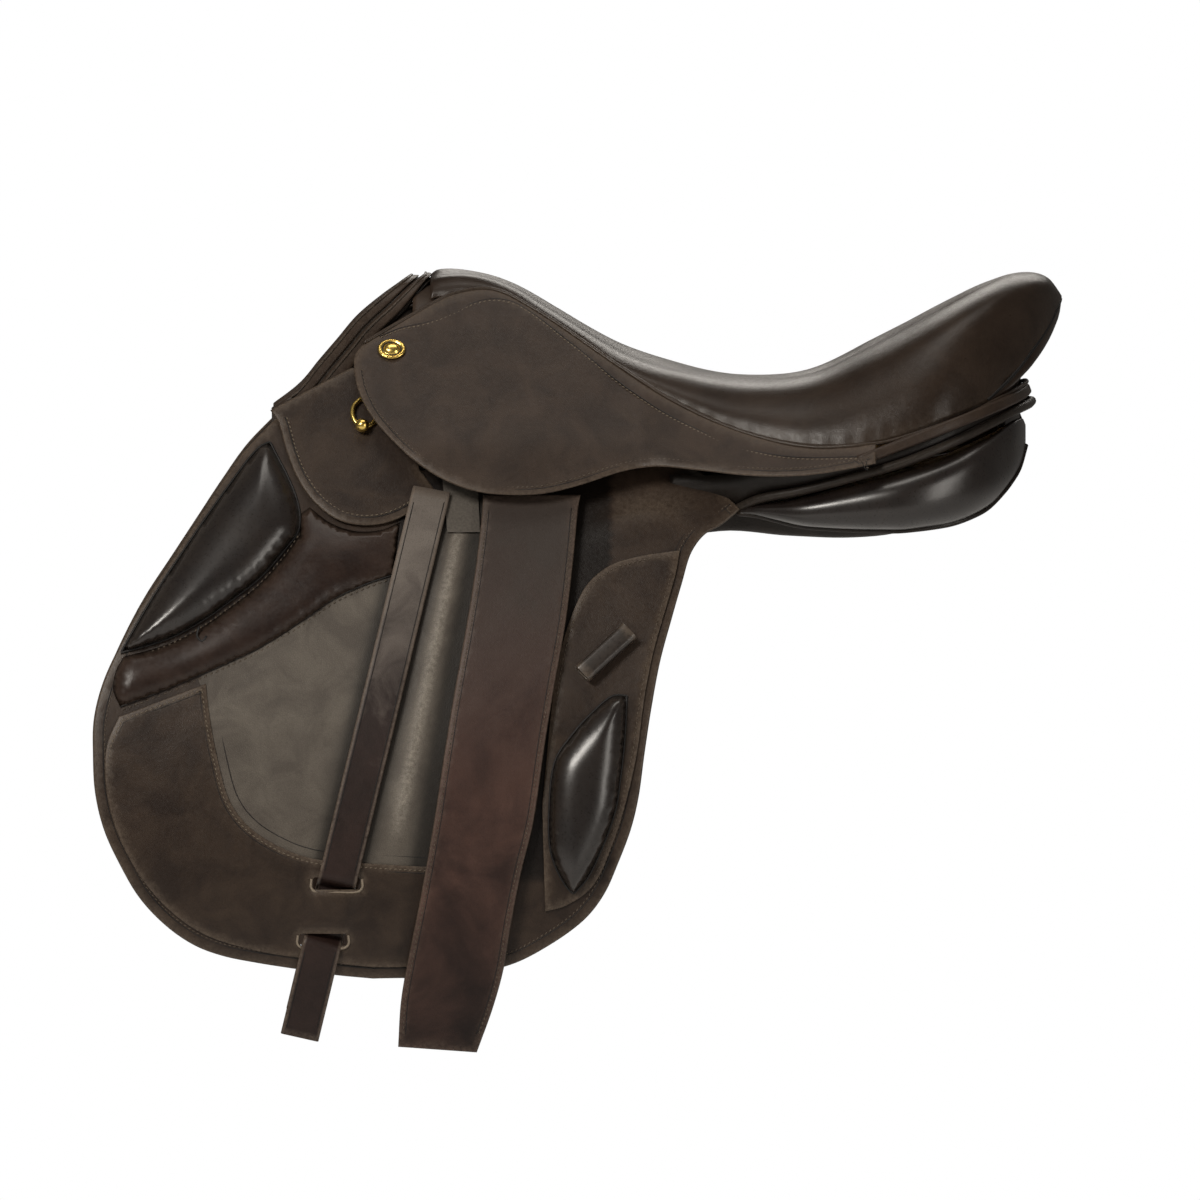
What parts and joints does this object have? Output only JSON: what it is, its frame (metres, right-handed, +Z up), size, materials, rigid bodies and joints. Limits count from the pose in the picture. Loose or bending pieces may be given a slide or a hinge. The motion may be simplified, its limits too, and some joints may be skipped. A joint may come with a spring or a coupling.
{
  "type": "english saddle",
  "caption": "Dark brown single-flap English jumping saddle on a laminated tree, with knee and thigh blocks, lifting skirts, stirrup bars, girth straps and brass dee rings.",
  "frame": {"origin": "on the centre plane at the waist of the saddle, level with where the cushions bear on the horse's back", "axes": "+Z up, +X from the pommel towards the cantle, +Y to the right (off) side"},
  "size_m": [0.6516, 0.414, 0.5263],
  "materials": {
    "seat_leather": "semi-gloss dark havana bridle leather, fine grain",
    "flap_leather": "semi-gloss dark havana leather, rubbed paler along the edges",
    "block_leather": "glossy dark havana leather over a stuffed block",
    "strap_leather": "matt red-brown bridle leather with dark edges",
    "panel_leather": "soft matt near-black brown leather",
    "tree_wood": "laminated beech, varnished",
    "tree_steel": "plain forged steel",
    "webbing": "waxed brown webbing and thread",
    "foam": "open-cell seat foam",
    "brass": "polished brass, a little dulled"
  },
  "bodies": {
    "saddle": {"calf_patch_left": "flap_leather", "calf_patch_right": "flap_leather", "cantle_band": "seat_leather", "catch_pins": "tree_steel", "cross_web": "webbing", "dee_studs": "brass", "flap_left": "flap_leather", "flap_right": "flap_leather", "front_facing": "seat_leather", "front_panel_left": "panel_leather", "front_panel_right": "panel_leather", "front_strap_left": "strap_leather", "front_strap_right": "strap_leather", "girth_webs": "webbing", "gullet_lining": "panel_leather", "gullet_plate": "tree_steel", "head_plate": "tree_steel", "keepers": "flap_leather", "knee_block_left": "block_leather", "knee_block_right": "block_leather", "knee_patch_left": "flap_leather", "knee_patch_right": "flap_leather", "knee_roll_left": "block_leather", "knee_roll_right": "block_leather", "pommel_binding": "seat_leather", "rear_facing": "panel_leather", "rear_gusset_left": "panel_leather", "rear_gusset_right": "panel_leather", "rear_panel_left": "panel_leather", "rear_panel_right": "panel_leather", "rear_welt": "seat_leather", "seat_cover": "seat_leather", "seat_foam": "foam", "seat_webs": "webbing", "skirt_nails": "brass", "skirt_top_left": "seat_leather", "skirt_top_right": "seat_leather", "spring_strips": "tree_steel", "stirrup_bar_left": "tree_steel", "stirrup_bar_right": "tree_steel", "thigh_block_left": "block_leather", "thigh_block_right": "block_leather", "tree_cantle": "tree_wood", "tree_head": "tree_wood", "tree_rail_left": "tree_wood", "tree_rail_right": "tree_wood", "under_skirt_left": "seat_leather", "under_skirt_right": "seat_leather"},
    "skirt_left": {"skirt_left": "seat_leather"},
    "rear_strap_left": {"rear_strap_left": "strap_leather"},
    "guard_left": {"guard_left": "strap_leather"},
    "front_strap_tail_left": {"front_strap_tail_left": "strap_leather"},
    "bar_catch_left": {"bar_catch_left": "tree_steel"},
    "dee_ring_left": {"dee_ring_left": "brass"},
    "skirt_right": {"skirt_right": "seat_leather"},
    "rear_strap_right": {"rear_strap_right": "strap_leather"},
    "guard_right": {"guard_right": "strap_leather"},
    "front_strap_tail_right": {"front_strap_tail_right": "strap_leather"},
    "bar_catch_right": {"bar_catch_right": "tree_steel"},
    "dee_ring_right": {"dee_ring_right": "brass"}
  },
  "joints": [
    {"name": "skirt_lift_left", "type": "hinge", "parent": "saddle", "child": "skirt_left", "pos_m": [-0.193, -0.08571, 0.099], "axis": [-0.9202, 0.2392, 0.3099], "range_deg": [0, 100]},
    {"name": "rear_strap_swing_left", "type": "hinge", "parent": "saddle", "child": "rear_strap_left", "pos_m": [-0.072, -0.12406, 0.018], "axis": [-1, 0, 0], "range_deg": [0, 25]},
    {"name": "guard_lift_left", "type": "hinge", "parent": "rear_strap_left", "child": "guard_left", "pos_m": [-0.072, -0.12868, 0.018], "axis": [-1, 0, 0], "range_deg": [0, 30]},
    {"name": "front_tail_swing_left", "type": "hinge", "parent": "saddle", "child": "front_strap_tail_left", "pos_m": [-0.214, -0.19171, -0.282], "axis": [-1, 0, 0], "range_deg": [0, 70]},
    {"name": "catch_turn_left", "type": "hinge", "parent": "saddle", "child": "bar_catch_left", "pos_m": [-0.095, -0.11483, 0.046], "axis": [0, -0.866, 0.5], "range_deg": [0, 85]},
    {"name": "dee_swing_left", "type": "hinge", "parent": "saddle", "child": "dee_ring_left", "pos_m": [-0.18, -0.08504, 0.087], "axis": [0, 0.866, -0.5], "range_deg": [-12, 70]},
    {"name": "skirt_lift_right", "type": "hinge", "parent": "saddle", "child": "skirt_right", "pos_m": [-0.193, 0.08571, 0.099], "axis": [0.9202, 0.2392, -0.3099], "range_deg": [0, 100]},
    {"name": "rear_strap_swing_right", "type": "hinge", "parent": "saddle", "child": "rear_strap_right", "pos_m": [-0.072, 0.12406, 0.018], "axis": [1, 0, 0], "range_deg": [0, 25]},
    {"name": "guard_lift_right", "type": "hinge", "parent": "rear_strap_right", "child": "guard_right", "pos_m": [-0.072, 0.12868, 0.018], "axis": [1, 0, 0], "range_deg": [0, 30]},
    {"name": "front_tail_swing_right", "type": "hinge", "parent": "saddle", "child": "front_strap_tail_right", "pos_m": [-0.214, 0.19171, -0.282], "axis": [1, 0, 0], "range_deg": [0, 70]},
    {"name": "catch_turn_right", "type": "hinge", "parent": "saddle", "child": "bar_catch_right", "pos_m": [-0.095, 0.11483, 0.046], "axis": [0, -0.866, -0.5], "range_deg": [0, 85]},
    {"name": "dee_swing_right", "type": "hinge", "parent": "saddle", "child": "dee_ring_right", "pos_m": [-0.18, 0.08504, 0.087], "axis": [0, 0.866, 0.5], "range_deg": [-12, 70]}
  ]
}
